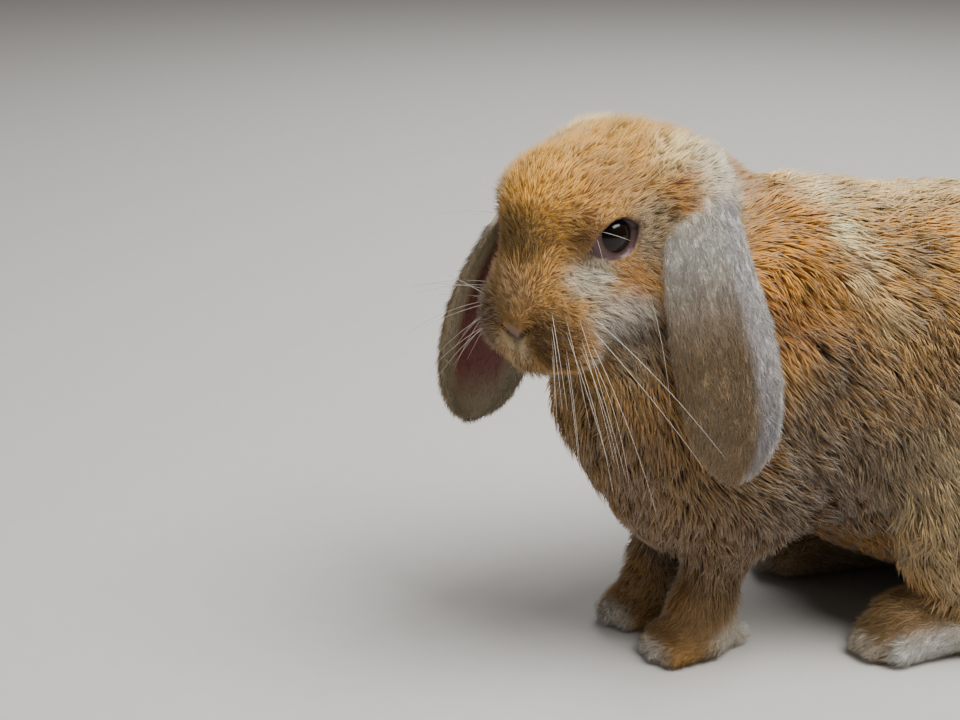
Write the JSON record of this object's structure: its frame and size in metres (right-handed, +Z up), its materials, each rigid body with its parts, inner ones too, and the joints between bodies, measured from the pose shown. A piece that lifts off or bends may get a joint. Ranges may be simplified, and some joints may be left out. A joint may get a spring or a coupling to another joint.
{
  "type": "lop rabbit",
  "caption": "Life-size still model of a lop-eared rabbit standing at rest, head turned a little to its left and both ears hanging.",
  "frame": {"origin": "middle of the footprint of the whole animal, on the floor under the soles", "axes": "+X to the rabbit's left, +Y towards its tail (it faces -Y), +Z up"},
  "size_m": [0.1414, 0.296, 0.2132],
  "materials": {
    "coat_fawn": "fawn guard hair ticked with grey-brown over a pale undercoat",
    "coat_ear": "short grey-tan hair, almost bare and dusky pink inside",
    "coat_pale": "long soft cream-grey hair",
    "coat_foot": "short orange-brown hair with pale edges",
    "eye": "wet, almost black brown",
    "claw": "dull dark horn"
  },
  "bodies": {
    "root": {"head": "coat_fawn", "neck": "coat_fawn", "trunk": "coat_fawn", "tail": "coat_fawn", "ear_left": "coat_ear", "eye_left": "eye", "foreleg_left": "coat_fawn", "forefoot_left": "coat_foot", "thigh_left": "coat_pale", "hindfoot_left": "coat_foot", "claw_fore_left_1": "claw", "claw_fore_left_2": "claw", "claw_fore_left_3": "claw", "claw_fore_left_4": "claw", "claw_dew_left": "claw", "claw_hind_left_1": "claw", "claw_hind_left_2": "claw", "claw_hind_left_3": "claw", "claw_hind_left_4": "claw", "ear_right": "coat_ear", "eye_right": "eye", "foreleg_right": "coat_fawn", "forefoot_right": "coat_foot", "thigh_right": "coat_pale", "hindfoot_right": "coat_foot", "claw_fore_right_1": "claw", "claw_fore_right_2": "claw", "claw_fore_right_3": "claw", "claw_fore_right_4": "claw", "claw_dew_right": "claw", "claw_hind_right_1": "claw", "claw_hind_right_2": "claw", "claw_hind_right_3": "claw", "claw_hind_right_4": "claw"}
  },
  "joints": []
}
